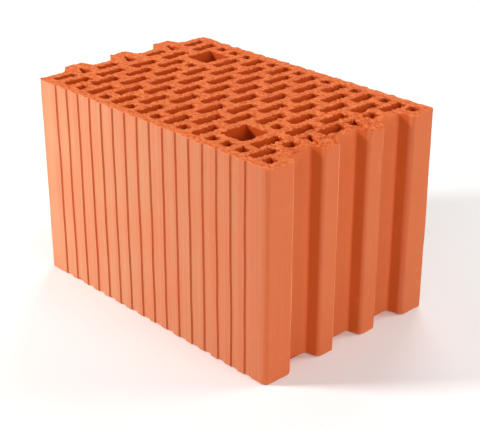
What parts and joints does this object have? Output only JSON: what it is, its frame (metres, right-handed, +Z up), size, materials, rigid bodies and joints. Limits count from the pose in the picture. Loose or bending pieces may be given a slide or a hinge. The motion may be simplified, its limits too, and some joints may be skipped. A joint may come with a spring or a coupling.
{
  "type": "perforated clay building block",
  "caption": "Perforated fired-clay wall block with staggered upright slots, grip holes, keyed long faces and tongue-and-groove ends.",
  "frame": {"origin": "middle of the bounding box, tongues included, at the underside that the block is laid on", "axes": "+X along the block towards its grooved end, +Y across it to the long face away from the camera, +Z up along the slots"},
  "size_m": [0.39, 0.25, 0.238],
  "materials": {
    "fired_clay": "matte"
  },
  "bodies": {
    "root": {"clay_block": "fired_clay"}
  },
  "joints": []
}
